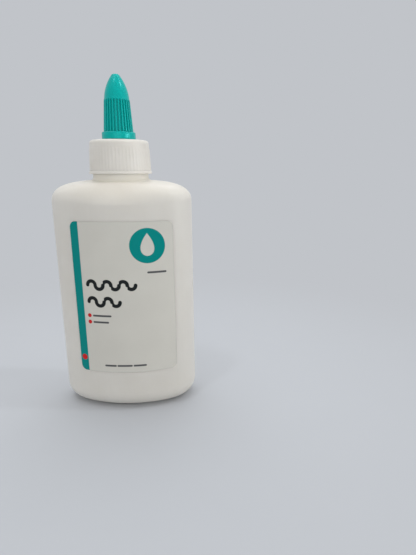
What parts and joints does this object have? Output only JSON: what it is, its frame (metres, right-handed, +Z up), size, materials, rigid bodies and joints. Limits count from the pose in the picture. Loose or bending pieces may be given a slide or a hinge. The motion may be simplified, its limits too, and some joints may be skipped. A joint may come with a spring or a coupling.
{
  "type": "glue bottle",
  "caption": "Squeeze bottle of white glue: an oval plastic bottle with a screw-on ribbed cap and a ribbed twist tip that rises off a sealing pin to pour.",
  "frame": {"origin": "centre of the bottle's standing rim, on the surface that it stands on", "axes": "+Z up along the bottle's axis, +X along the wide side, the label faces -Y"},
  "size_m": [0.058, 0.0342, 0.138],
  "materials": {
    "bottle_plastic": "satin white blow-moulded polyethylene",
    "white_glue": "smooth white liquid",
    "label_film": "satin film with a printed stripe",
    "cap_plastic": "white injection-moulded polypropylene",
    "seal_foam": "white foam",
    "tip_plastic": "teal injection-moulded polyethylene"
  },
  "bodies": {
    "bottle": {"bottle": "bottle_plastic", "glue_fill": "white_glue", "front_label": "label_film"},
    "base_cap": {"base_cap": "cap_plastic"},
    "seal_ring": {"seal_ring": "seal_foam"},
    "twist_tip": {"twist_tip": "tip_plastic"}
  },
  "joints": [
    {"name": "cap_lift_off", "type": "slide", "parent": "bottle", "child": "base_cap", "axis": [0, 0, 1], "range_m": [0, 0.03]},
    {"name": "tip_twist", "type": "hinge", "parent": "base_cap", "child": "seal_ring", "pos_m": [0, 0, 0.1133], "axis": [0, 0, 1], "range_deg": [0, 270]},
    {"name": "tip_rise", "type": "slide", "parent": "seal_ring", "child": "twist_tip", "axis": [0, 0, 1], "range_m": [0, 0.00375]}
  ],
  "couplings": [
    {"joint": "tip_twist", "follows": "tip_rise", "rad_per_m": 1256.6}
  ]
}
